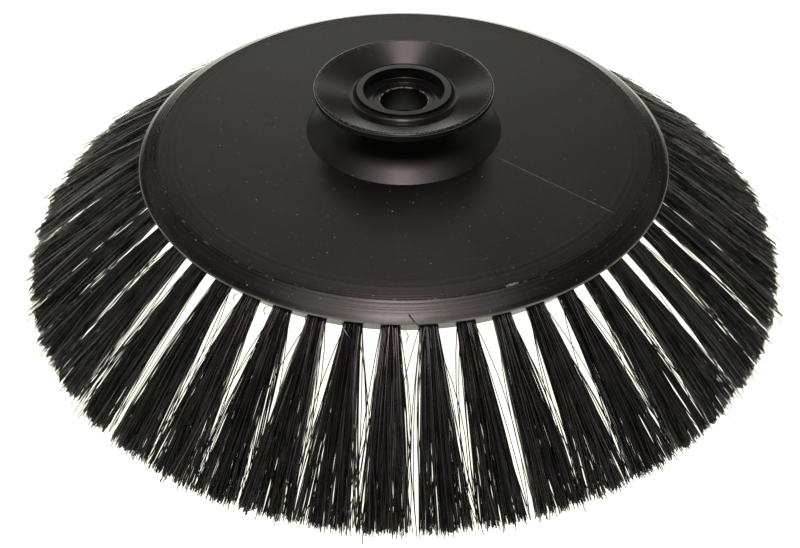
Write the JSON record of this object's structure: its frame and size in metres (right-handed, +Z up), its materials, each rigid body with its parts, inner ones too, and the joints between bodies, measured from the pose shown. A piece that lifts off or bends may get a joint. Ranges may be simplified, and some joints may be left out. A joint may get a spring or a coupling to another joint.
{
  "type": "wheel brush",
  "caption": "Belt-driven disc brush: bevelled plate with a splayed skirt of bristle tufts, a V-groove pulley hub and a ball bearing for a fixed spindle.",
  "frame": {"origin": "on the spin axis, in the plane that the bristle tips rest on", "axes": "+Z up along the spin axis, from the bristle tips to the pulley"},
  "size_m": [0.4173, 0.4173, 0.085],
  "materials": {
    "turned_plastic": "black plastic, lathe-turned, satin with fine concentric tool marks",
    "bristle": "stiff black synthetic filaments, slightly glossy",
    "bearing_steel": "ground steel",
    "spring_steel": "phosphated spring steel"
  },
  "bodies": {
    "brush": {"brush_plate": "turned_plastic", "pulley_hub": "turned_plastic", "bearing_outer_ring": "bearing_steel", "retaining_ring": "spring_steel", "tuft_01": "bristle", "tuft_02": "bristle", "tuft_03": "bristle", "tuft_04": "bristle", "tuft_05": "bristle", "tuft_06": "bristle", "tuft_07": "bristle", "tuft_08": "bristle", "tuft_09": "bristle", "tuft_10": "bristle", "tuft_11": "bristle", "tuft_12": "bristle", "tuft_13": "bristle", "tuft_14": "bristle", "tuft_15": "bristle", "tuft_16": "bristle", "tuft_17": "bristle", "tuft_18": "bristle", "tuft_19": "bristle", "tuft_20": "bristle", "tuft_21": "bristle", "tuft_22": "bristle", "tuft_23": "bristle", "tuft_24": "bristle", "tuft_25": "bristle", "tuft_26": "bristle", "tuft_27": "bristle", "tuft_28": "bristle", "tuft_29": "bristle", "tuft_30": "bristle", "tuft_31": "bristle", "tuft_32": "bristle", "tuft_33": "bristle", "tuft_34": "bristle", "tuft_35": "bristle", "tuft_36": "bristle", "tuft_37": "bristle", "tuft_38": "bristle", "tuft_39": "bristle", "tuft_40": "bristle", "tuft_41": "bristle", "tuft_42": "bristle", "tuft_43": "bristle", "tuft_44": "bristle", "tuft_45": "bristle", "tuft_46": "bristle", "tuft_47": "bristle", "tuft_48": "bristle", "tuft_49": "bristle", "tuft_50": "bristle", "tuft_51": "bristle", "tuft_52": "bristle", "tuft_53": "bristle"},
    "inner_ring": {"bearing_inner_ring": "bearing_steel"},
    "ball_train": {"ball_cage": "bearing_steel"}
  },
  "joints": [
    {"name": "inner_ring_spin", "type": "hinge", "parent": "brush", "child": "inner_ring", "pos_m": [0, 0, 0.05354], "axis": [0, 0, 1], "continuous": true},
    {"name": "ball_train_spin", "type": "hinge", "parent": "brush", "child": "ball_train", "pos_m": [0, 0, 0.05354], "axis": [0, 0, 1], "continuous": true}
  ],
  "couplings": [
    {"joint": "ball_train_spin", "follows": "inner_ring_spin", "ratio": 0.39758}
  ]
}
